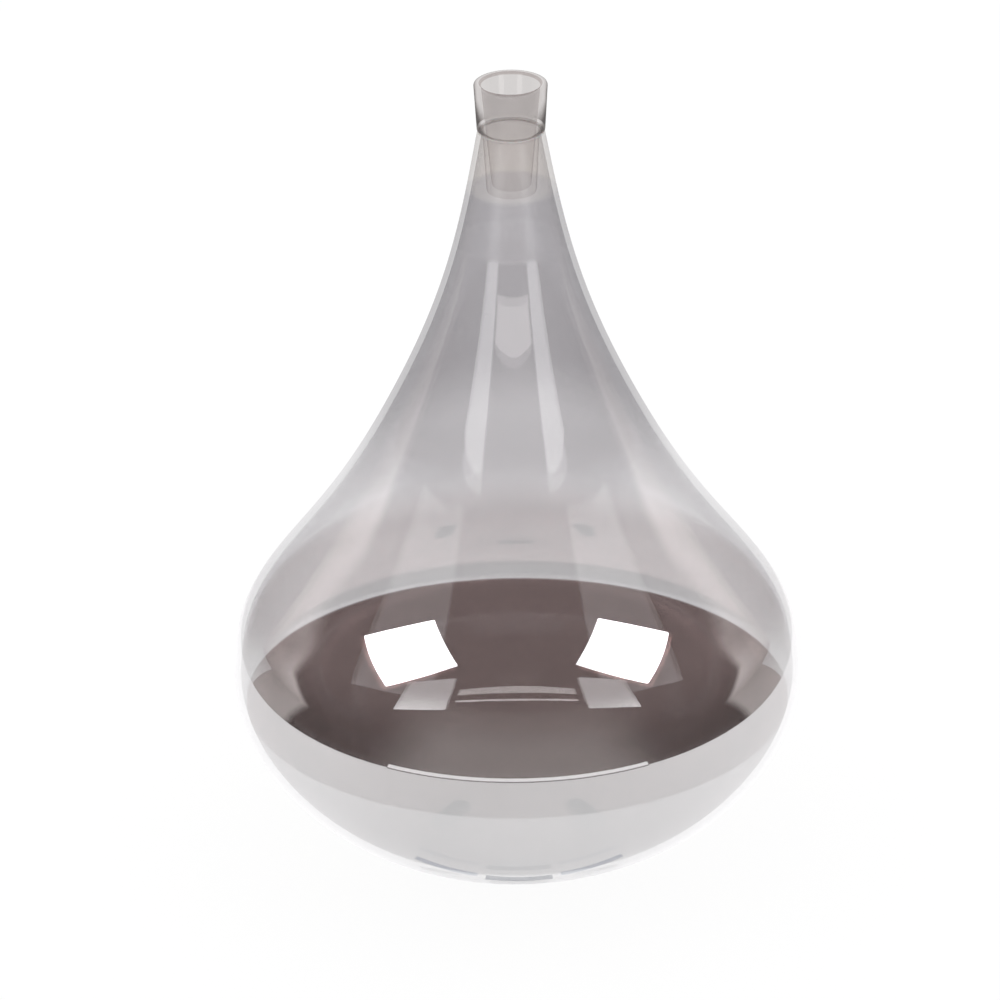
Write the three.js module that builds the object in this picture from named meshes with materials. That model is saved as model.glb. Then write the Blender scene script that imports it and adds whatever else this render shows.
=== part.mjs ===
// Storm glass vessel: a drop of smoked glass, blown in one piece, that stands on three
// soft pads glued under its ground base, and is closed by a hollow, cup-shaped ground
// stopper on a soft seal ring. The stopper lifts straight out along +Z.
//
// Millimetres, +Z up. The origin is on the glass's axis, on the surface it stands on.
// The front of the object faces -Y.
import * as THREE from "three";

// ---- driving dimensions ---------------------------------------------------------------

const FACETS = 48; // round every turned piece

// Pads under the base.
const PAD_HEIGHT = 2.5;
const PAD_WIDTH = 20;
const PAD_DEPTH = 7;
const PAD_BEVEL = 0.6;
const PAD_PITCH_RADIUS = 27; // from the axis to a pad's middle
const PADS = [
  { name: "pad_front", turn: 0 },
  { name: "pad_right", turn: 120 },
  { name: "pad_left", turn: 240 },
];

// The drop, with heights measured from its own ground base.
const BASE_RADIUS = 32.5; // the ground flat
const BASE_EDGE_ANGLE = 9.2; // how steeply the bulb leaves the flat, in degrees
const BULB_RADIUS = 97;
const BULB_HEIGHT = 62; // of the widest ring
const SHOULDER_RADIUS = 45; // where the convex bulb turns into the hollow-sided cone
const SHOULDER_HEIGHT = 157;
const SHOULDER_ANGLE = 27.5; // lean of the wall from upright there, in degrees
const LIP_RADIUS = 11.4;
const LIP_HEIGHT = 260;
const LIP_ANGLE = 10; // lean of the wall from upright at the lip, in degrees
const BASE_WALL = 3; // the wall thins evenly with height
const LIP_WALL = 1.6;
const LIP_CHAMFER = 0.3;

// How far each end of a stretch of the outline pulls along its own direction.
const BASE_PULL = 37;
const BULB_PULL_DOWN = 25;
const BULB_PULL_UP = 35.5;
const SHOULDER_PULL_DOWN = 65.5;
const SHOULDER_PULL_UP = 45;
const LIP_PULL = 40;
const STEPS_PER_STRETCH = 8;

// Seal ring between the lip and the stopper's head.
const SEAL_HEIGHT = 1;
const SEAL_INSET = 0.4; // the ring's edge sits this far inside the lip's

// Stopper: a 19/22 cone, 19 mm across its wide end and 22 mm long with a 1:10 taper.
const CONE_RADIUS = 9.5;
const CONE_LENGTH = 22;
const CONE_TAPER = 0.05; // radius lost per millimetre
const CONE_EDGE = 0.8;
const CONE_CLEARANCE = 0.32; // between the cone and anything round it
const HEAD_HEIGHT = 16.5;
const HEAD_RADIUS = 12.3; // at the rim: the head widens upwards from the lip's radius
const RIM_ROUND = 0.8;
const WELL_RADIUS = 9.9; // at the rim
const WELL_FOOT_RADIUS = 6.6;
const WELL_FLOOR = 2; // thickness of glass under the well
const CORNER_STEPS = 3;

// ---- materials ------------------------------------------------------------------------

const smokedGlass = () =>
  new THREE.MeshStandardMaterial({ color: 0xa59a99, roughness: 0.08, metalness: 0.45 });
const stopperGlass = () =>
  new THREE.MeshStandardMaterial({ color: 0xbdb6b3, roughness: 0.1, metalness: 0 });
const softSeal = () =>
  new THREE.MeshStandardMaterial({ color: 0x8d8785, roughness: 0.55, metalness: 0 });
const softPad = () =>
  new THREE.MeshStandardMaterial({ color: 0x85858a, roughness: 0.6, metalness: 0 });

// ---- shapes ---------------------------------------------------------------------------

// A unit direction in the outline's plane, measured up from the outward radius.
function direction(degrees) {
  const angle = THREE.MathUtils.degToRad(degrees);
  return new THREE.Vector2(Math.cos(angle), Math.sin(angle));
}

// A smooth stretch from one point to another, leaving and arriving in the given directions.
function stretch(from, leaving, leavePull, to, arriving, arrivePull) {
  const first = from.clone().addScaledVector(leaving, leavePull);
  const second = to.clone().addScaledVector(arriving, -arrivePull);
  return new THREE.CubicBezierCurve(from, first, second, to);
}

// Turns an outline of (radius, height) points about the Z axis.
function turned(outline) {
  return new THREE.LatheGeometry(outline, FACETS).rotateX(Math.PI / 2);
}

// The drop's outer outline, from the base's edge to the lip, as [point, direction] pairs.
function dropOutside() {
  const base = new THREE.Vector2(BASE_RADIUS, 0);
  const bulb = new THREE.Vector2(BULB_RADIUS, BULB_HEIGHT);
  const shoulder = new THREE.Vector2(SHOULDER_RADIUS, SHOULDER_HEIGHT);
  const lip = new THREE.Vector2(LIP_RADIUS, LIP_HEIGHT);
  const leaving = direction(BASE_EDGE_ANGLE);
  const upright = direction(90);
  const overShoulder = direction(90 + SHOULDER_ANGLE);
  const atLip = direction(90 + LIP_ANGLE);
  const stretches = [
    stretch(base, leaving, BASE_PULL, bulb, upright, BULB_PULL_DOWN),
    stretch(bulb, upright, BULB_PULL_UP, shoulder, overShoulder, SHOULDER_PULL_DOWN),
    stretch(shoulder, overShoulder, SHOULDER_PULL_UP, lip, atLip, LIP_PULL),
  ];
  const samples = [[base, leaving]];
  for (const curve of stretches) {
    for (let step = 1; step <= STEPS_PER_STRETCH; step++) {
      const t = step / STEPS_PER_STRETCH;
      samples.push([curve.getPoint(t), curve.getTangent(t)]);
    }
  }
  return samples;
}

function wallAt(height) {
  return THREE.MathUtils.lerp(BASE_WALL, LIP_WALL, height / LIP_HEIGHT);
}

// The drop: one open shell, with its outline run from the middle of the base up the
// outside, over the lip and down the inside to the middle of the hollow's floor.
function makeDrop() {
  const outside = dropOutside();
  const inside = outside.slice(1).map(([point, along]) => {
    const inwards = new THREE.Vector2(-along.y, along.x);
    return point.clone().addScaledVector(inwards, wallAt(point.y));
  });
  const bore = inside.at(-1);
  const outline = [
    new THREE.Vector2(0, 0),
    ...outside.map(([point]) => point),
    new THREE.Vector2(bore.x + LIP_CHAMFER, LIP_HEIGHT),
    ...inside.reverse(),
    new THREE.Vector2(BASE_RADIUS, BASE_WALL),
    new THREE.Vector2(0, BASE_WALL),
  ];
  return turned(outline);
}

// A quarter turn about a centre, from one direction to another, both in degrees.
function corner(x, y, radius, start, end) {
  const arc = new THREE.EllipseCurve(
    x, y, radius, radius,
    THREE.MathUtils.degToRad(start), THREE.MathUtils.degToRad(end), end < start,
  );
  return arc.getPoints(CORNER_STEPS);
}

// The stopper, with heights measured from the underside of its head: the outline runs from
// the middle of the cone's tip up the cone and the head, over the rim and down the well.
function makeStopper() {
  const tipRadius = CONE_RADIUS - CONE_LENGTH * CONE_TAPER;
  const wellFloor = WELL_FLOOR - CONE_LENGTH;
  const rimCentre = HEAD_HEIGHT - RIM_ROUND;
  const outline = [
    new THREE.Vector2(0, -CONE_LENGTH),
    new THREE.Vector2(tipRadius - CONE_EDGE, -CONE_LENGTH),
    new THREE.Vector2(tipRadius, CONE_EDGE - CONE_LENGTH),
    new THREE.Vector2(CONE_RADIUS, 0),
    new THREE.Vector2(LIP_RADIUS, 0),
    ...corner(HEAD_RADIUS - RIM_ROUND, rimCentre, RIM_ROUND, 0, 90),
    ...corner(WELL_RADIUS + RIM_ROUND, rimCentre, RIM_ROUND, 90, 180),
    ...corner(WELL_FOOT_RADIUS - RIM_ROUND, wellFloor + RIM_ROUND, RIM_ROUND, 0, -90),
    new THREE.Vector2(0, wellFloor),
  ];
  return turned(outline);
}

function makeSeal() {
  const inner = CONE_RADIUS + CONE_CLEARANCE;
  const outer = LIP_RADIUS - SEAL_INSET;
  const outline = [
    new THREE.Vector2(inner, 0),
    new THREE.Vector2(outer, 0),
    new THREE.Vector2(outer, SEAL_HEIGHT),
    new THREE.Vector2(inner, SEAL_HEIGHT),
    new THREE.Vector2(inner, 0),
  ];
  return turned(outline);
}

// A pad with round ends and softened edges, its middle on the front pad's place.
function makePad() {
  const endRadius = PAD_DEPTH / 2 - PAD_BEVEL;
  const endCentre = (PAD_WIDTH - PAD_DEPTH) / 2;
  const plan = new THREE.Shape();
  plan.absarc(endCentre, 0, endRadius, -Math.PI / 2, Math.PI / 2, false);
  plan.absarc(-endCentre, 0, endRadius, Math.PI / 2, -Math.PI / 2, false);
  return new THREE.ExtrudeGeometry(plan, {
    depth: PAD_HEIGHT - 2 * PAD_BEVEL,
    bevelThickness: PAD_BEVEL,
    bevelSize: PAD_BEVEL,
    bevelSegments: 2,
    curveSegments: 8,
  }).translate(0, -PAD_PITCH_RADIUS, PAD_BEVEL);
}

// ---- assembly -------------------------------------------------------------------------

function piece(name, geometry, material) {
  const mesh = new THREE.Mesh(geometry, material);
  mesh.name = name;
  return mesh;
}

const group = new THREE.Group();

const glass = new THREE.Group();
glass.position.z = PAD_HEIGHT;
glass.add(piece("glass_drop", makeDrop(), smokedGlass()));
group.add(glass);

for (const { name, turn } of PADS) {
  const pad = piece(name, makePad(), softPad());
  pad.rotation.z = THREE.MathUtils.degToRad(turn);
  group.add(pad);
}

// The seal ring and the stopper come out together.
const closure = new THREE.Group();
closure.position.z = LIP_HEIGHT;
closure.add(piece("seal_ring", makeSeal(), softSeal()));
const stopper = piece("neck_stopper", makeStopper(), stopperGlass());
stopper.position.z = SEAL_HEIGHT;
closure.add(stopper);
glass.add(closure);

export default group;
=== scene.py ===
"""Looks of the storm glass vessel: a drop of smoked glass with a half-mirror lustre on its
bulb, a cup-shaped stopper of thick glass, a soft seal ring and three soft pads.

Metres, +Z up, front towards -Y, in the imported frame. Sizes below are in millimetres.
"""

import math

import bpy
from mathutils import Matrix, Vector


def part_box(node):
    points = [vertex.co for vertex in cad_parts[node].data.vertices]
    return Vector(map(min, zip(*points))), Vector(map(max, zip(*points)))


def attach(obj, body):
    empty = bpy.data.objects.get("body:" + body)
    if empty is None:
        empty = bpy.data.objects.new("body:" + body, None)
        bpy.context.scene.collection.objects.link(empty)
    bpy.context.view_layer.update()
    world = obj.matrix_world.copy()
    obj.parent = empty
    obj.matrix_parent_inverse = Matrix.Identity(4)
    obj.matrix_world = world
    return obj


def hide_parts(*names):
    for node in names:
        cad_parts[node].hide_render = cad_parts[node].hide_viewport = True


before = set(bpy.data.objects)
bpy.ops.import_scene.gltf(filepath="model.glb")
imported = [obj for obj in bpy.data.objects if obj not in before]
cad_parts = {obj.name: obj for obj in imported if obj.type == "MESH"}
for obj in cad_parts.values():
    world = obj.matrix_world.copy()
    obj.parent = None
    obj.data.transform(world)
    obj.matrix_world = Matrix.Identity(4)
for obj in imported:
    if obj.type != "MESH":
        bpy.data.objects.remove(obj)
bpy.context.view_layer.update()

MM = 0.001

# ---- driving dimensions, in millimetres ------------------------------------------------

TURNS = 192  # sides of a turned piece
STRETCH_STEPS = 40
CORNER_STEPS = 8

# The drop, with heights measured from its own ground base.
BASE_RADIUS = 32.5
BASE_EDGE_ANGLE = 9.2  # degrees
BULB_RADIUS = 97
BULB_HEIGHT = 62
SHOULDER_RADIUS = 45
SHOULDER_HEIGHT = 157
SHOULDER_ANGLE = 27.5
LIP_RADIUS = 11.4
LIP_HEIGHT = 260
LIP_ANGLE = 10
BASE_WALL = 3
LIP_WALL = 1.6
LIP_ROUND = 0.35
BASE_PULL = 37
BULB_PULL_DOWN = 25
BULB_PULL_UP = 35.5
SHOULDER_PULL_DOWN = 65.5
SHOULDER_PULL_UP = 45
LIP_PULL = 40
GROUND_ROUND = 1.2  # softened edge where the ground flat meets the bulb
GROUND_RISE = 0.03
FLAT_MIDDLE = 0.5  # share of the base's radius where its flat has a ring of vertices

# Seal ring, with heights from the lip.
SEAL_HEIGHT = 1
SEAL_INSET = 0.4
SEAL_ROUND = 0.3
CONE_CLEARANCE = 0.32

# Stopper, with heights from the underside of its head.
CONE_RADIUS = 9.5
CONE_LENGTH = 22
CONE_TAPER = 0.05
CONE_EDGE = 0.8
HEAD_HEIGHT = 16.5
HEAD_RADIUS = 12.3
HEAD_EDGE = 0.4
RIM_ROUND = 0.8
WELL_RADIUS = 9.9
WELL_FOOT_RADIUS = 6.6
WELL_FLOOR = 2

# Pads.
PAD_HEIGHT = 2.5
PAD_WIDTH = 20
PAD_DEPTH = 7
PAD_BEVEL = 0.6
PAD_PITCH_RADIUS = 27
PAD_END_STEPS = 24
PAD_TURNS = {"pad_front": 0, "pad_right": 120, "pad_left": 240}

glass_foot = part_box("glass_drop")[0].z / MM
lip_top = glass_foot + LIP_HEIGHT
head_foot = lip_top + SEAL_HEIGHT

# ---- finishes --------------------------------------------------------------------------

# How bare glass mirrors: head on, what grazing adds, and how late that comes in.
GLASS_MIRROR = 0.04
GRAZING_MIRROR = 0.22
SCHLICK_POWER = 5
MIRROR_TINT = (0.96, 0.955, 0.965)
DUST_ROUGHNESS = (0.012, 0.035)

# Glass seen edge-on is deeper: how far a face turns away, and its see-through share there.
EDGE_TURN = (0.3, 0.78)
EDGE_CLEARNESS = 0.885

# Heights on the drop, from its own base, between which a finish changes downwards.
OUTER_FILM = (95, 74)  # a pale half-mirror film outside fades in
INNER_FILM = (52.2, 51.2)  # a dark half-mirror film inside the bowl begins
SMOKE_FADE = (165, 128)  # smoked above, nearly clear below
JOINT = (241, 239)  # paler above, where the stopper's cone sits
SATIN = (222, 219.5)  # finely ground above
STOPPER_CONE = (262, 259)  # the stopper's smoked head above, its clear cone below
SATIN_ROUGHNESS = 0.33

# See-through tints of the drop's wall, one face at a time.
JOINT_TINT = (0.885, 0.872, 0.866)
OUTER_TINTS = ((0.802, 0.794, 0.802), (0.965, 0.96, 0.965))  # smoked, clear
INNER_TINTS = ((0.814, 0.808, 0.817), (0.965, 0.96, 0.965))
OUTER_FILM_TINT = (0.90, 0.895, 0.895)
INNER_FILM_TINT = (0.39, 0.297, 0.285)
OUTER_FILM_MIRROR = 0.40
INNER_FILM_MIRROR = 0.38

# The stopper.
HEAD_TINTS = ((0.785, 0.767, 0.762), (0.81, 0.792, 0.787))
WELL_TINT = (0.87, 0.86, 0.857)
# Painted shade: the dark see-through tint of the head where its faces turn away and towards its
# foot, standing in for the dark room seen through the thick glass.
PAINTED_HEAD_SHADE_TINT = (0.22, 0.2, 0.195)
# Painted shade: a dark ring on the inner edge round the mouth, standing in for the dark outline at
# the rounded rim.
MOUTH_PAINTED_SHADE_TINT = (0.62, 0.58, 0.57)
CONE_TINTS = ((0.962, 0.956, 0.953), (0.78, 0.76, 0.755))  # face on, and turned away under the painted shade
HEAD_MIRROR_TINT = (0.9, 0.89, 0.89)
HEAD_GRAZING_MIRROR = 0.15
CONE_MIRROR = 0.6  # share of the head's own
FOG_ROUGHNESS = (0.01, 0.05)
PAINTED_HEAD_SHADE_TURN = (0.6, 1)  # painted shade: how far a face turns away as it darkens
PAINTED_FOOT_SHADE_HEIGHT = 9  # painted shade: height over which the head darkens sooner towards its foot
# Painted shade near the foot: how much it adds to the turning away, and the heights above the foot
# over which it comes in.
PAINTED_FOOT_SHADE_AMOUNT = 0.42
PAINTED_FOOT_SHADE_START = (0.45, 0.7)
HEAD_SKIN = (10.8, 11.2)  # radii between the well and the head's outside
# Where the painted shade round the mouth lies: radii, and depths below the rim.
MOUTH_PAINTED_SHADE_RADII = (10.7, 10.5)
MOUTH_PAINTED_SHADE_DEPTHS = (1.1, 0.7)

# Seal and pads.
SEAL_COLOURS = ((0.50, 0.47, 0.46), (0.56, 0.53, 0.52))
SEAL_SEE_THROUGH = 0.75
PAD_COLOURS = ((0.27, 0.27, 0.30), (0.34, 0.34, 0.36))


# ---- camera ----------------------------------------------------------------------------

CAMERA_DISTANCE = 2640
CAMERA_ELEVATION = 24.5
CAMERA_LOOK_HEIGHT = 151.5
CAMERA_LENS = 281.4
CAMERA_ROLL = 0.62  # degrees
AIM_RIGHT = -0.11  # degrees away from the look point
AIM_UP = -0.466


def make_camera():
    elevation = math.radians(CAMERA_ELEVATION)
    back = Vector((0, -math.cos(elevation), math.sin(elevation)))
    look = Vector((0, 0, CAMERA_LOOK_HEIGHT)) * MM
    data = bpy.data.cameras.new("camera")
    data.lens = CAMERA_LENS
    camera = bpy.data.objects.new("camera", data)
    bpy.context.scene.collection.objects.link(camera)
    aim = (-back).to_track_quat("-Z", "Y").to_matrix().to_4x4()
    aim = aim @ Matrix.Rotation(math.radians(-AIM_RIGHT), 4, "Y")
    aim = aim @ Matrix.Rotation(math.radians(AIM_UP), 4, "X")
    aim = aim @ Matrix.Rotation(math.radians(-CAMERA_ROLL), 4, "Z")
    camera.matrix_world = Matrix.Translation(look + back * CAMERA_DISTANCE * MM) @ aim
    bpy.context.scene.camera = camera


make_camera()


# ---- shapes ----------------------------------------------------------------------------


def direction(degrees):
    angle = math.radians(degrees)
    return Vector((math.cos(angle), math.sin(angle)))


def stretch(start, leaving, leave_pull, end, arriving, arrive_pull):
    """Points and directions of a cubic curve, without its first point."""
    first = start + leaving * leave_pull
    second = end - arriving * arrive_pull
    samples = []
    for step in range(1, STRETCH_STEPS + 1):
        t = step / STRETCH_STEPS
        u = 1 - t
        point = start * u**3 + first * 3 * u * u * t + second * 3 * u * t * t + end * t**3
        along = (first - start) * u * u + (second - first) * 2 * u * t + (end - second) * t * t
        samples.append((point, along.normalized()))
    return samples


def arc(centre_x, centre_y, radius, start, end, steps=CORNER_STEPS):
    """Points of an arc, from one angle to another in degrees."""
    centre = Vector((centre_x, centre_y))
    angles = [start + (end - start) * step / steps for step in range(steps + 1)]
    return [centre + direction(angle) * radius for angle in angles]


def add_mesh(name, vertices, faces, materials):
    mesh = bpy.data.meshes.new(name)
    mesh.from_pydata(vertices, [], faces)
    for material in materials:
        mesh.materials.append(material)
    thing = bpy.data.objects.new(name, mesh)
    bpy.context.scene.collection.objects.link(thing)
    return thing


def turned(name, outline, foot, materials, inner_from=None):
    """Turns an outline of (radius, height) points in millimetres into a smooth closed mesh.

    An outline that starts and ends on the axis is closed there by single points. From the
    outline's point inner_from on, faces take the second material.
    """
    on_axis = outline[0].x == 0
    ring_points = outline[1:-1] if on_axis else outline
    rings = len(ring_points)
    vertices = []
    for point in ring_points:
        for turn in range(TURNS):
            angle = 2 * math.pi * turn / TURNS
            x, y = math.cos(angle) * point.x, math.sin(angle) * point.x
            vertices.append((x * MM, y * MM, (foot + point.y) * MM))
    bands = [(row, row + 1) for row in range(rings - 1)]
    if not on_axis:
        bands.append((rings - 1, 0))
    faces = []
    for low, high in bands:
        for turn in range(TURNS):
            after = (turn + 1) % TURNS
            corners = (low * TURNS + turn, low * TURNS + after,
                       high * TURNS + after, high * TURNS + turn)
            faces.append(corners)
    last = len(vertices) + 1
    if on_axis:
        first = len(vertices)
        vertices.append((0, 0, (foot + outline[0].y) * MM))
        vertices.append((0, 0, (foot + outline[-1].y) * MM))
        top_row = (rings - 1) * TURNS
        for turn in range(TURNS):
            after = (turn + 1) % TURNS
            faces.append((first, after, turn))
            faces.append((last, top_row + turn, top_row + after))
    piece = add_mesh(name, vertices, faces, materials)
    if inner_from is not None:
        for face in piece.data.polygons:
            row = min(face.vertices) // TURNS
            face.material_index = int(row >= inner_from or face.vertices[0] == last)
    piece.data.shade_smooth()
    return piece


def wall_at(height):
    return BASE_WALL + (LIP_WALL - BASE_WALL) * height / LIP_HEIGHT


def drop_outside():
    """The drop's outer outline as (point, direction) pairs, from the bulb's start to the lip."""
    base = Vector((BASE_RADIUS, 0))
    bulb = Vector((BULB_RADIUS, BULB_HEIGHT))
    shoulder = Vector((SHOULDER_RADIUS, SHOULDER_HEIGHT))
    lip = Vector((LIP_RADIUS, LIP_HEIGHT))
    leaving = direction(BASE_EDGE_ANGLE)
    upright = direction(90)
    over = direction(90 + SHOULDER_ANGLE)
    at_lip = direction(90 + LIP_ANGLE)
    return (
        stretch(base, leaving, BASE_PULL, bulb, upright, BULB_PULL_DOWN)
        + stretch(bulb, upright, BULB_PULL_UP, shoulder, over, SHOULDER_PULL_DOWN)
        + stretch(shoulder, over, SHOULDER_PULL_UP, lip, at_lip, LIP_PULL)
    )


def make_drop(outer, inner):
    outside = drop_outside()
    inside = []
    for point, along in outside:
        inwards = Vector((-along.y, along.x))
        inside.append(point + inwards * wall_at(point.y))
    bore = inside[-1].x
    flat_middle = BASE_RADIUS * FLAT_MIDDLE
    lip_centre = LIP_HEIGHT - LIP_ROUND
    outline = [Vector((0, 0)), Vector((flat_middle, 0))]
    outline += [Vector((BASE_RADIUS - GROUND_ROUND, 0)), Vector((BASE_RADIUS, GROUND_RISE))]
    outline += [point for point, _ in outside[:-1]]
    outline += arc(LIP_RADIUS - LIP_ROUND, lip_centre, LIP_ROUND, 0, 90)
    outline += arc(bore + LIP_ROUND, lip_centre, LIP_ROUND, 90, 180)
    inner_from = len(outline) - 1
    outline += reversed(inside[:-1])
    outline += [Vector((BASE_RADIUS, BASE_WALL)), Vector((flat_middle, BASE_WALL))]
    outline += [Vector((0, BASE_WALL))]
    return turned("drop_shell", outline, glass_foot, [outer, inner], inner_from)


def make_stopper(material):
    tip_radius = CONE_RADIUS - CONE_LENGTH * CONE_TAPER
    well_floor = WELL_FLOOR - CONE_LENGTH
    rim = HEAD_HEIGHT - RIM_ROUND
    outline = [Vector((0, -CONE_LENGTH)), Vector((tip_radius - 2 * CONE_EDGE, -CONE_LENGTH))]
    outline += arc(tip_radius - CONE_EDGE, CONE_EDGE - CONE_LENGTH, CONE_EDGE, -90, 0)
    outline += [Vector((CONE_RADIUS - CONE_TAPER * HEAD_EDGE, -HEAD_EDGE)), Vector((CONE_RADIUS, 0))]
    outline += [Vector((LIP_RADIUS - 1.25 * HEAD_EDGE, 0))]
    outline += arc(LIP_RADIUS - HEAD_EDGE, HEAD_EDGE, HEAD_EDGE, -90, 0)
    outline += arc(HEAD_RADIUS - RIM_ROUND, rim, RIM_ROUND, 0, 90)
    outline += arc(WELL_RADIUS + RIM_ROUND, rim, RIM_ROUND, 90, 180)
    outline += arc(WELL_FOOT_RADIUS - RIM_ROUND, well_floor + RIM_ROUND, RIM_ROUND, 0, -90)
    outline += [Vector((0, well_floor))]
    return turned("stopper_glass", outline, head_foot, [material])


def make_seal(material):
    inner = CONE_RADIUS + CONE_CLEARANCE
    outer = LIP_RADIUS - SEAL_INSET
    outline = (
        arc(inner + SEAL_ROUND, SEAL_ROUND, SEAL_ROUND, 180, 270)
        + arc(outer - SEAL_ROUND, SEAL_ROUND, SEAL_ROUND, 270, 360)
        + arc(outer - SEAL_ROUND, SEAL_HEIGHT - SEAL_ROUND, SEAL_ROUND, 0, 90)
        + arc(inner + SEAL_ROUND, SEAL_HEIGHT - SEAL_ROUND, SEAL_ROUND, 90, 180)
    )
    return turned("seal", outline, lip_top, [material])


def make_pad(name, turn, material):
    """A slot-shaped pad with rounded edges, built as rings of its outline."""
    half = (PAD_WIDTH - PAD_DEPTH) / 2
    levels = arc(0, PAD_BEVEL, PAD_BEVEL, -90, 0) + arc(0, PAD_HEIGHT - PAD_BEVEL, PAD_BEVEL, 0, 90)
    place = Matrix.Rotation(math.radians(turn), 4, "Z")
    vertices = []
    for level in levels:
        radius = PAD_DEPTH / 2 - PAD_BEVEL + level.x
        plan = arc(half, 0, radius, -90, 90, PAD_END_STEPS)
        plan += arc(-half, 0, radius, 90, 270, PAD_END_STEPS)
        for point in plan:
            corner = Vector((point.x, point.y - PAD_PITCH_RADIUS, level.y))
            vertices.append(place @ (corner * MM))
    around = len(vertices) // len(levels)
    faces = [tuple(reversed(range(around)))]
    for row in range(len(levels) - 1):
        for step in range(around):
            after = (step + 1) % around
            faces.append((row * around + step, row * around + after,
                          (row + 1) * around + after, (row + 1) * around + step))
    faces.append(tuple(range((len(levels) - 1) * around, len(levels) * around)))
    pad = add_mesh(name + "_silicone", vertices, faces, [material])
    pad.data.shade_smooth()
    return pad


# ---- material helpers ------------------------------------------------------------------


def new_material(name):
    material = bpy.data.materials.new(name)
    material.use_nodes = True
    tree = material.node_tree
    tree.nodes.clear()
    output = tree.nodes.new("ShaderNodeOutputMaterial")
    return material, tree, output


def node(tree, kind, **settings):
    made = tree.nodes.new(kind)
    for key, value in settings.items():
        setattr(made, key, value)
    return made


def connect(tree, value, socket):
    """Gives a socket a plain value or another node's output."""
    if isinstance(value, tuple):
        socket.default_value = (*value, 1)
    elif isinstance(value, (int, float)):
        socket.default_value = value
    else:
        tree.links.new(value, socket)


def math_node(tree, operation, first, second=0):
    made = node(tree, "ShaderNodeMath", operation=operation)
    connect(tree, first, made.inputs[0])
    connect(tree, second, made.inputs[1])
    return made.outputs[0]


def add(tree, first, second):
    return math_node(tree, "ADD", first, second)


def times(tree, first, second):
    return math_node(tree, "MULTIPLY", first, second)


def blend_colours(tree, amount, first, second):
    made = node(tree, "ShaderNodeMix", data_type="RGBA")
    connect(tree, amount, made.inputs["Factor"])
    connect(tree, first, made.inputs["A"])
    connect(tree, second, made.inputs["B"])
    return made.outputs["Result"]


def span(tree, value, low, high, to_low, to_high, smooth=False):
    made = node(tree, "ShaderNodeMapRange")
    if smooth:
        made.interpolation_type = "SMOOTHSTEP"
    made.inputs["From Min"].default_value = low
    made.inputs["From Max"].default_value = high
    made.inputs["To Min"].default_value = to_low
    made.inputs["To Max"].default_value = to_high
    tree.links.new(value, made.inputs["Value"])
    return made.outputs["Result"]


def object_coordinates(tree):
    """Coordinates that stay with the piece, whole and split into X, Y and Z."""
    coordinates = node(tree, "ShaderNodeTexCoord").outputs["Object"]
    split = node(tree, "ShaderNodeSeparateXYZ")
    tree.links.new(coordinates, split.inputs[0])
    return coordinates, split.outputs


def noise(tree, coordinates, scale, detail=3.0, stretch_z=1.0):
    mapping = node(tree, "ShaderNodeMapping")
    mapping.inputs["Scale"].default_value = (1, 1, stretch_z)
    tree.links.new(coordinates, mapping.inputs["Vector"])
    made = node(tree, "ShaderNodeTexNoise")
    made.inputs["Scale"].default_value = scale
    made.inputs["Detail"].default_value = detail
    tree.links.new(mapping.outputs["Vector"], made.inputs["Vector"])
    return made.outputs["Fac"]


def fade(tree, coordinates, heights, wander):
    """0 above the first height and 1 below the second, with a slightly wandering edge."""
    separate = node(tree, "ShaderNodeSeparateXYZ")
    tree.links.new(coordinates, separate.inputs[0])
    cloud = span(tree, noise(tree, coordinates, 14), 0.3, 0.7, -wander * MM, wander * MM)
    height = add(tree, separate.outputs["Z"], cloud)
    top, full = ((glass_foot + value) * MM for value in heights)
    return span(tree, height, top, full, 0, 1, smooth=True)


def facing_away(tree):
    """0 where a face looks at the viewer and 1 where it is seen edge-on."""
    return node(tree, "ShaderNodeLayerWeight").outputs["Facing"]


def bare_mirror(tree, facing, grazing):
    """The share of light that bare glass mirrors."""
    edge = math_node(tree, "POWER", facing, SCHLICK_POWER)
    return add(tree, times(tree, edge, grazing), GLASS_MIRROR)


def see_through(tree, output, tone, mirror, mirror_tint, roughness, normal=None):
    """Finishes a glass: a tinted see-through face under a mirror with its share of light."""
    see = node(tree, "ShaderNodeBsdfTransparent")
    tree.links.new(tone, see.inputs["Color"])
    gloss = node(tree, "ShaderNodeBsdfGlossy")
    gloss.inputs["Color"].default_value = (*mirror_tint, 1)
    tree.links.new(roughness, gloss.inputs["Roughness"])
    if normal is not None:
        tree.links.new(normal, gloss.inputs["Normal"])
    mix = node(tree, "ShaderNodeMixShader")
    tree.links.new(mirror, mix.inputs[0])
    tree.links.new(see.outputs[0], mix.inputs[1])
    tree.links.new(gloss.outputs[0], mix.inputs[2])
    tree.links.new(mix.outputs[0], output.inputs["Surface"])


# ---- materials of the object -----------------------------------------------------------


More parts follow.
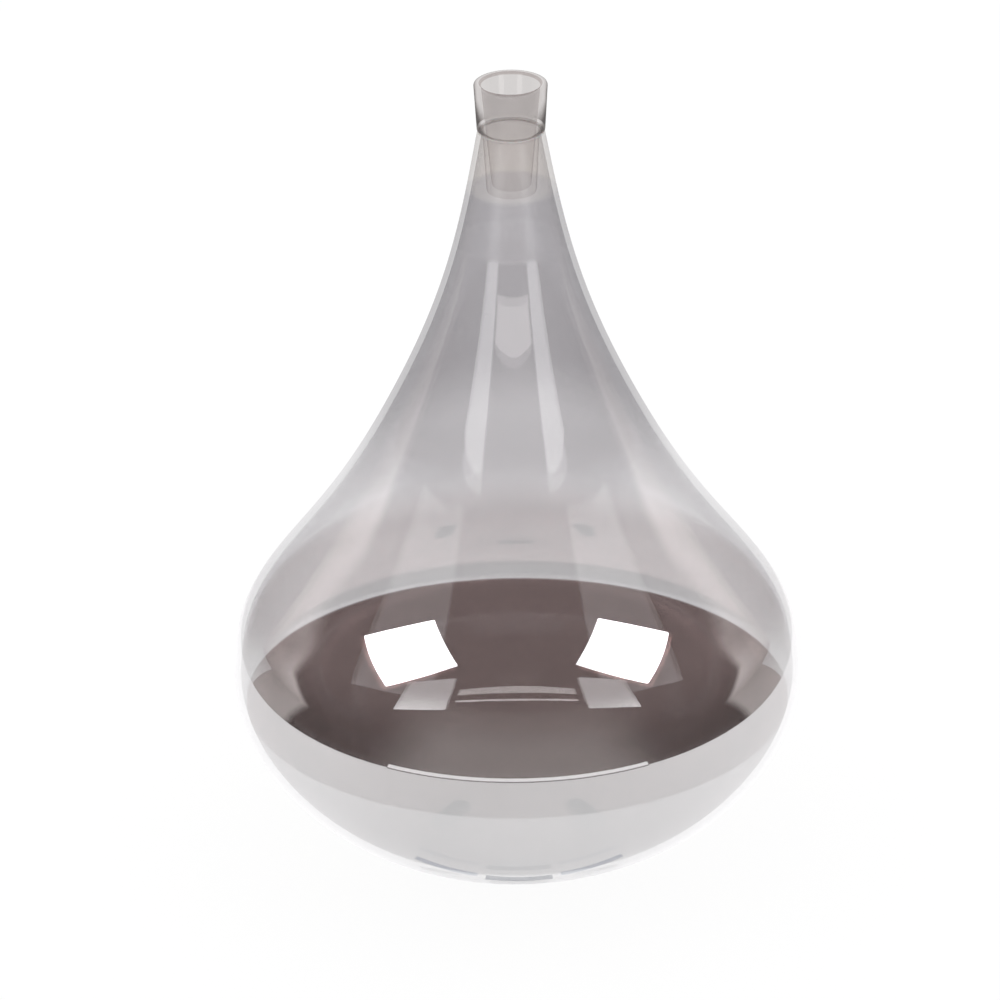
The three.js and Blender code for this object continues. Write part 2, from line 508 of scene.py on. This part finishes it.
def glass_wall(name, tints, film_heights, film_mirror, film_tint, wander):
    """One side of the drop's wall: smoked glass, its film, slight ripples and dust."""
    material, tree, output = new_material(name)
    coordinates, _ = object_coordinates(tree)
    facing = facing_away(tree)
    film = fade(tree, coordinates, film_heights, wander)

    bare = bare_mirror(tree, facing, GRAZING_MIRROR)
    streaks = span(tree, noise(tree, coordinates, 30, 4.0, 0.25), 0.3, 0.7, 0.97, 1.03)
    share = times(tree, times(tree, film, film_mirror), streaks)
    left = math_node(tree, "SUBTRACT", 1, share)
    mirror = add(tree, share, times(tree, left, bare))

    tone = blend_colours(tree, fade(tree, coordinates, SMOKE_FADE, 2), *tints)
    tone = blend_colours(tree, fade(tree, coordinates, JOINT, 0.3), JOINT_TINT, tone)
    tone = blend_colours(tree, film, tone, film_tint)
    deepened = node(tree, "ShaderNodeVectorMath", operation="SCALE")
    tree.links.new(tone, deepened.inputs[0])
    tree.links.new(span(tree, facing, *EDGE_TURN, 1, EDGE_CLEARNESS), deepened.inputs["Scale"])

    dust = span(tree, noise(tree, coordinates, 90, 5.0), 0.35, 0.75, *DUST_ROUGHNESS)
    ground = span(tree, fade(tree, coordinates, SATIN, 0.3), 0, 1, SATIN_ROUGHNESS, 0)
    ripple = node(tree, "ShaderNodeBump")
    ripple.inputs["Strength"].default_value = 0.02
    ripple.inputs["Distance"].default_value = 0.4 * MM
    tree.links.new(noise(tree, coordinates, 18, 2.0, 0.5), ripple.inputs["Height"])
    see_through(tree, output, deepened.outputs[0], mirror, MIRROR_TINT,
                add(tree, dust, ground), ripple.outputs[0])
    return material


def stopper_glass():
    """Thick glass: smoked outside, with painted shade where it turns away and towards its foot,
    a paler well, a painted dark inner edge round the mouth, and a clear, finely ground cone."""
    material, tree, output = new_material("stopper_glass_thick")
    coordinates, (x, y, height) = object_coordinates(tree)
    facing = facing_away(tree)
    squares = add(tree, math_node(tree, "POWER", x, 2), math_node(tree, "POWER", y, 2))
    radius = math_node(tree, "SQRT", squares)
    rim = (head_foot + HEAD_HEIGHT) * MM
    foot = head_foot * MM

    # Painted shade: the head darkens towards its foot, where it sits on the seal, and at its edges
    # where faces turn away.
    painted_foot_shade = span(tree, height, foot + PAINTED_FOOT_SHADE_HEIGHT * MM, foot, 0, PAINTED_FOOT_SHADE_AMOUNT)
    edge_low, edge_high = (foot + value * MM for value in PAINTED_FOOT_SHADE_START)
    painted_foot_shade = times(tree, painted_foot_shade, span(tree, height, edge_low, edge_high, 0, 1))
    painted_head_shade = span(tree, add(tree, facing, painted_foot_shade), *PAINTED_HEAD_SHADE_TURN, 0, 1, smooth=True)
    skin_low, skin_high = (value * MM for value in HEAD_SKIN)
    skin = span(tree, radius, skin_low, skin_high, 0, 1)
    # Painted shade: a dark ring just inside the mouth's rim.
    edge_out, edge_in = (value * MM for value in MOUTH_PAINTED_SHADE_RADII)
    edge_deep, edge_top = (rim - value * MM for value in MOUTH_PAINTED_SHADE_DEPTHS)
    mouth_painted_shade = times(tree, span(tree, radius, edge_out, edge_in, 0, 1),
                       span(tree, height, edge_deep, edge_top, 0, 1))
    cone = fade(tree, coordinates, STOPPER_CONE, 0.1)

    smoked = blend_colours(tree, noise(tree, coordinates, 60), *HEAD_TINTS)
    tone = blend_colours(tree, skin, WELL_TINT, smoked)
    tone = blend_colours(tree, times(tree, painted_head_shade, skin), tone, PAINTED_HEAD_SHADE_TINT)
    tone = blend_colours(tree, mouth_painted_shade, tone, MOUTH_PAINTED_SHADE_TINT)
    tone = blend_colours(tree, cone, tone, blend_colours(tree, painted_head_shade, *CONE_TINTS))

    bare = bare_mirror(tree, facing, HEAD_GRAZING_MIRROR)
    mirror = times(tree, bare, span(tree, cone, 0, 1, 1, CONE_MIRROR))
    fog = span(tree, noise(tree, coordinates, 400, 4.0), 0.35, 0.75, *FOG_ROUGHNESS)
    ground = span(tree, cone, 0, 1, 0, SATIN_ROUGHNESS)
    see_through(tree, output, tone, mirror, HEAD_MIRROR_TINT, add(tree, fog, ground))
    return material


def silicone(name, colours, clearness=0.0):
    material, tree, output = new_material(name)
    coordinates, _ = object_coordinates(tree)
    shader = node(tree, "ShaderNodeBsdfPrincipled")
    shader.inputs["Subsurface Weight"].default_value = 0.3
    shader.inputs["Subsurface Scale"].default_value = 2 * MM
    mottled = blend_colours(tree, noise(tree, coordinates, 300), *colours)
    tree.links.new(mottled, shader.inputs["Base Color"])
    rough = span(tree, noise(tree, coordinates, 900, 4.0), 0.3, 0.7, 0.42, 0.62)
    tree.links.new(rough, shader.inputs["Roughness"])
    bump = node(tree, "ShaderNodeBump")
    bump.inputs["Strength"].default_value = 0.3
    bump.inputs["Distance"].default_value = 0.1 * MM
    tree.links.new(noise(tree, coordinates, 1500), bump.inputs["Height"])
    tree.links.new(bump.outputs[0], shader.inputs["Normal"])
    mix = node(tree, "ShaderNodeMixShader")
    mix.inputs[0].default_value = clearness
    tree.links.new(shader.outputs[0], mix.inputs[1])
    tree.links.new(node(tree, "ShaderNodeBsdfTransparent").outputs[0], mix.inputs[2])
    tree.links.new(mix.outputs[0], output.inputs["Surface"])
    return material


# ---- object ----------------------------------------------------------------------------

outer_wall = glass_wall("smoked_glass_outside", OUTER_TINTS, OUTER_FILM,
                        OUTER_FILM_MIRROR, OUTER_FILM_TINT, wander=2)
inner_wall = glass_wall("smoked_glass_inside", INNER_TINTS, INNER_FILM,
                        INNER_FILM_MIRROR, INNER_FILM_TINT, wander=0.15)
drop = make_drop(outer_wall, inner_wall)
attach(drop, "vessel")
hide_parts("glass_drop")

stopper = make_stopper(stopper_glass())
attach(stopper, "stopper")
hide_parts("neck_stopper")

seal = make_seal(silicone("seal_silicone_grey", SEAL_COLOURS, SEAL_SEE_THROUGH))
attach(seal, "stopper")
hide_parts("seal_ring")

pad_material = silicone("pad_silicone_grey", PAD_COLOURS)
for pad_name, pad_turn in PAD_TURNS.items():
    pad = make_pad(pad_name, pad_turn, pad_material)
    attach(pad, "vessel")
    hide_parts(pad_name)


# ---- stage -----------------------------------------------------------------------------

FLOOR_SIZE = 12000
FLOOR_COLOUR = (0.08, 0.08, 0.08)
FLOOR_GLOW = 0.93

# A bright round table with a ledge in front, on a dark floor, in layers above each other.
TABLE_RADIUS = 300
TABLE_HEIGHT = -0.3
# The painted shadow patches of the base lie on this layer.
BASE_SHADOW_HEIGHT = 0.3
DARK_FLOOR_HEIGHT = 0.6
DARK_FLOOR_HALF_SPAN = 114.5  # degrees either way from the front
LEDGE_HEIGHT = 0.9
LEDGE_RADIUS = 331
LEDGE_HALF_SPAN = 44.5
GROOVE = (290, 299)  # radii of the dark line between table and ledge
RING_STEPS = 96

# Painted shadow of the base on the table: grey patches, dimmer than the table, which the underside
# mirrors.
# name, middle, half width, nearest and farthest distance in front, strength.
BASE_SHADOW_PATCHES = (
    ("base_shadow_middle", 0, 12.5, 59, 52, 0.5),
    ("base_shadow_left", -29, 13, 61, 56, 0.85),
    ("base_shadow_right", 29, 13, 61, 56, 0.85),
)

# A dome over it all: dark in front, and above CAP_FOOT degrees of elevation all the way
# round; white behind.
DOME_RADIUS = 2600
DOME_HALF_SPAN = 126
CAP_FOOT = 52
DOME_STEPS = 144
DOME_ROWS = 30

# One softbox and one strip light of a mirrored pair, and two bars across the front.
SOFTBOX_CORNERS = (
    (930, -1100, 990),
    (1520, -410, 770),
    (1180, 20, 1340),
    (610, -605, 1570),
)
STRIP_CORNERS = (
    (120, -240, 199),
    (255, -240, 199),
    (255, -240, 306),
    (120, -240, 284),
)
BAR_HALF = 114
BAR_FRONT = -256
BARS = ((235, 240, 4.2), (256, 272, 3.0))  # low edge, high edge, strength

# The dark surround's own tone: a little paler in front, and paler still beside, low down.
DARK_TONE = 0.012
FRONT_TONE = 0.3
FRONT_TONE_SPAN = (25, 58)  # degrees from the front
FRONT_TONE_TOP = (1250, 1750)  # heights on the dome
SIDE_TONES = (0.6, 2.2)
SIDE_TONE_SPAN = (87, 93)
SIDE_TONE_LEAN_RISE = (0, 450)
SIDE_TONE_LEAN = 12
SIDE_TONE_RISE = (0, 750)
SIDE_TONE_TOP = (850, 1150)

# Strengths as mirrored by the outside of the glass, and as mirrored inside the bowl.
SOFTBOX_STRENGTHS = (0.9, 8.0)
STRIP_STRENGTHS = (3.1, 0.0)
TABLE_STRENGTHS = (1.16, 2.2)
TABLE_BESIDE = 1.36  # mirrored by the outside, at the sides
TABLE_SPAN = (20, 90)
WHITE_WALL_STRENGTHS = (1.0, 0.05)
DARK_FLOOR_INSIDE = 0.3
GROOVE_STRENGTH = 0.4
LEDGE_STRENGTH = 1.5
FACES_TO_BOWL = 2.5  # faces of glass that a ray has crossed to count as inside the bowl
FACES_TO_FAR_WALL = 4.5  # and to count as mirrored by the outer film of the far wall

WHITE = (1, 1, 1)
ROOM_COLOUR = (1, 0.93, 0.9)
# Painted shadow: the tint of the grey patches that stand for the base's shadow on the table.
BASE_SHADOW_COLOUR = (0.88, 0.92, 1)
BAR_COLOUR = (1, 0.97, 0.95)
GROOVE_COLOUR = (1, 0.98, 0.98)


def seen_inside(tree, strengths, faces=FACES_TO_BOWL):
    """One strength for mirrors outside the bowl, another for mirrors inside it."""
    outside, inside = strengths
    crossed = node(tree, "ShaderNodeLightPath").outputs["Transparent Depth"]
    seen = node(tree, "ShaderNodeMix", data_type="FLOAT")
    connect(tree, math_node(tree, "GREATER_THAN", crossed, faces), seen.inputs["Factor"])
    connect(tree, outside, seen.inputs["A"])
    connect(tree, inside, seen.inputs["B"])
    return seen.outputs["Result"]


def seen_once(tree, strengths):
    """Strengths outside and inside the bowl, in a first mirror only."""
    mirrors = node(tree, "ShaderNodeLightPath").outputs["Glossy Depth"]
    return times(tree, seen_inside(tree, strengths), math_node(tree, "LESS_THAN", mirrors, 1.5))


def from_front(tree, x, y):
    """Degrees round the axis from the front, either way."""
    turn = math_node(tree, "ARCTAN2", x, times(tree, y, -1))
    return times(tree, math_node(tree, "ABSOLUTE", turn), math.degrees(1))


def table_strength(tree):
    """The table top, brighter towards both sides."""
    _, (x, y, _) = object_coordinates(tree)
    outside = span(tree, from_front(tree, x, y), *TABLE_SPAN, TABLE_STRENGTHS[0], TABLE_BESIDE,
                   smooth=True)
    return seen_inside(tree, (outside, TABLE_STRENGTHS[1]), FACES_TO_FAR_WALL)


def room_strength(tree, inside):
    """The dark surround, paler in front and at both sides."""
    _, (x, y, z) = object_coordinates(tree)
    azimuth = from_front(tree, x, y)
    height = times(tree, z, 1 / MM)
    in_front = span(tree, azimuth, *FRONT_TONE_SPAN, FRONT_TONE, 0, smooth=True)
    in_front = times(tree, in_front, span(tree, height, *FRONT_TONE_TOP, 1, 0, smooth=True))
    lean = span(tree, height, *SIDE_TONE_LEAN_RISE, 0, SIDE_TONE_LEAN)
    upright = math_node(tree, "SUBTRACT", azimuth, lean)
    beside = span(tree, upright, *SIDE_TONE_SPAN, 0, 1, smooth=True)
    beside = times(tree, beside, span(tree, height, *SIDE_TONE_RISE, *SIDE_TONES))
    beside = times(tree, beside, span(tree, height, *SIDE_TONE_TOP, 1, 0, smooth=True))
    tone = add(tree, add(tree, in_front, beside), DARK_TONE)
    return seen_inside(tree, (tone, inside))


def glow(name, colour, strength):
    """A stage light, whose strength is a number or is made by a function of its nodes."""
    material, tree, output = new_material(name)
    light = node(tree, "ShaderNodeEmission")
    light.inputs["Color"].default_value = (*colour, 1)
    connect(tree, strength(tree) if callable(strength) else strength, light.inputs["Strength"])
    tree.links.new(light.outputs[0], output.inputs["Surface"])
    return material


def stage_mesh(name, vertices, faces, material, reflected_only=True):
    """A stage object. Most are there only for the glass to mirror."""
    thing = add_mesh(name, [Vector(vertex) * MM for vertex in vertices], faces, [material])
    if reflected_only:
        thing.visible_camera = False
        thing.visible_diffuse = False
        thing.visible_transmission = False
        thing.visible_shadow = False
    return thing


def panel(name, corners, material):
    stage_mesh(name, corners, [(0, 1, 2, 3)], material)


def make_floor():
    half = FLOOR_SIZE / 2
    corners = [(-half, -half, 0), (half, -half, 0), (half, half, 0), (-half, half, 0)]
    material, tree, output = new_material("pale_floor")
    diffuse = node(tree, "ShaderNodeBsdfDiffuse")
    diffuse.inputs["Color"].default_value = (*FLOOR_COLOUR, 1)
    light = node(tree, "ShaderNodeEmission")
    light.inputs["Strength"].default_value = FLOOR_GLOW
    both = node(tree, "ShaderNodeAddShader")
    tree.links.new(diffuse.outputs[0], both.inputs[0])
    tree.links.new(light.outputs[0], both.inputs[1])
    tree.links.new(both.outputs[0], output.inputs["Surface"])
    floor = stage_mesh("floor", corners, [(0, 1, 2, 3)], material, reflected_only=False)
    floor.visible_glossy = False


def ring_sector(name, inner, outer, half_span, height, material):
    """A flat ring, or the part of it within half_span degrees of the front."""
    vertices = []
    for step in range(RING_STEPS + 1):
        angle = math.radians(270 - half_span + 2 * half_span * step / RING_STEPS)
        for radius in (inner, outer):
            vertices.append((math.cos(angle) * radius, math.sin(angle) * radius, height))
    faces = [(2 * step, 2 * step + 1, 2 * step + 3, 2 * step + 2) for step in range(RING_STEPS)]
    stage_mesh(name, vertices, faces, material)


def dome_part(name, material, holds):
    """The faces of a dome whose azimuth from the front and elevation, in degrees, it holds."""
    vertices = []
    for row in range(DOME_ROWS + 1):
        rise = math.radians(90 * row / DOME_ROWS)
        reach = DOME_RADIUS * math.cos(rise)
        for step in range(DOME_STEPS + 1):
            angle = math.radians(90 + 360 * step / DOME_STEPS)
            x, y = math.cos(angle) * reach, math.sin(angle) * reach
            vertices.append((x, y, DOME_RADIUS * math.sin(rise)))
    faces = []
    for row in range(DOME_ROWS):
        for step in range(DOME_STEPS):
            azimuth = abs(180 - 360 * (step + 0.5) / DOME_STEPS)
            if holds(azimuth, 90 * row / DOME_ROWS):
                low = row * (DOME_STEPS + 1) + step
                high = low + DOME_STEPS + 1
                faces.append((low, low + 1, high + 1, high))
    stage_mesh(name, vertices, faces, material)


def is_dark(azimuth, elevation):
    return azimuth < DOME_HALF_SPAN or elevation >= CAP_FOOT


def make_surround():
    """What only reflections see: a dark room in front and overhead, a white wall behind,
    and a bright round table."""
    dark_room = glow("dark_room", ROOM_COLOUR, lambda tree: room_strength(tree, DARK_TONE))
    dome_part("dark_room", dark_room, is_dark)
    white_wall = glow("white_wall", WHITE, lambda tree: seen_inside(tree, WHITE_WALL_STRENGTHS))
    dome_part("white_wall", white_wall, lambda azimuth, elevation: not is_dark(azimuth, elevation))
    dark_floor = glow("dark_floor", ROOM_COLOUR, lambda tree: room_strength(tree, DARK_FLOOR_INSIDE))
    ring_sector("dark_floor", TABLE_RADIUS, DOME_RADIUS, DARK_FLOOR_HALF_SPAN,
                DARK_FLOOR_HEIGHT, dark_floor)
    table = glow("bright_table", WHITE, table_strength)
    ring_sector("table_glow", 0, TABLE_RADIUS, 180, TABLE_HEIGHT, table)
    groove = glow("groove", GROOVE_COLOUR, GROOVE_STRENGTH)
    ring_sector("table_groove", *GROOVE, LEDGE_HALF_SPAN, LEDGE_HEIGHT, groove)
    ledge = glow("ledge", WHITE, LEDGE_STRENGTH)
    ring_sector("table_ledge", TABLE_RADIUS, LEDGE_RADIUS, LEDGE_HALF_SPAN, LEDGE_HEIGHT, ledge)


def make_base_shadows():
    """Painted shadow: grey patches on the table top, just in front of the base, which its underside
    mirrors.
    """
    for name, middle, half_width, near, far, strength in BASE_SHADOW_PATCHES:
        left, right = middle - half_width, middle + half_width
        corners = [(left, -near, BASE_SHADOW_HEIGHT), (right, -near, BASE_SHADOW_HEIGHT),
                   (right, -far, BASE_SHADOW_HEIGHT), (left, -far, BASE_SHADOW_HEIGHT)]
        panel(name, corners, glow(name, BASE_SHADOW_COLOUR, strength))


def make_panels():
    softbox = glow("softbox", WHITE, lambda tree: seen_once(tree, SOFTBOX_STRENGTHS))
    strip = glow("strip_light", WHITE, lambda tree: seen_once(tree, STRIP_STRENGTHS))
    kinds = (("softbox", SOFTBOX_CORNERS, softbox), ("strip", STRIP_CORNERS, strip))
    for name, side in (("right", 1), ("left", -1)):
        for kind, corners, light in kinds:
            panel(f"{kind}_{name}", [(x * side, y, z) for x, y, z in corners], light)
    for number, (low_edge, high_edge, strength) in enumerate(BARS):
        corners = [(-BAR_HALF, BAR_FRONT, low_edge), (BAR_HALF, BAR_FRONT, low_edge),
                   (BAR_HALF, BAR_FRONT, high_edge), (-BAR_HALF, BAR_FRONT, high_edge)]
        strengths = (strength, 0.0)
        bar = glow(f"bar_{number}", BAR_COLOUR, lambda tree: seen_once(tree, strengths))
        panel(f"bar_{number}", corners, bar)


def make_world():
    scene = bpy.context.scene
    world = bpy.data.worlds.new("studio")
    scene.world = world
    world.use_nodes = True
    background = world.node_tree.nodes["Background"]
    background.inputs["Color"].default_value = (*WHITE, 1)
    background.inputs["Strength"].default_value = 1.0
    scene.view_settings.view_transform = "Standard"
    scene.cycles.max_bounces = 16
    scene.cycles.glossy_bounces = 10
    scene.cycles.transmission_bounces = 16
    scene.cycles.transparent_max_bounces = 32


make_floor()
make_surround()
make_base_shadows()
make_panels()
make_world()
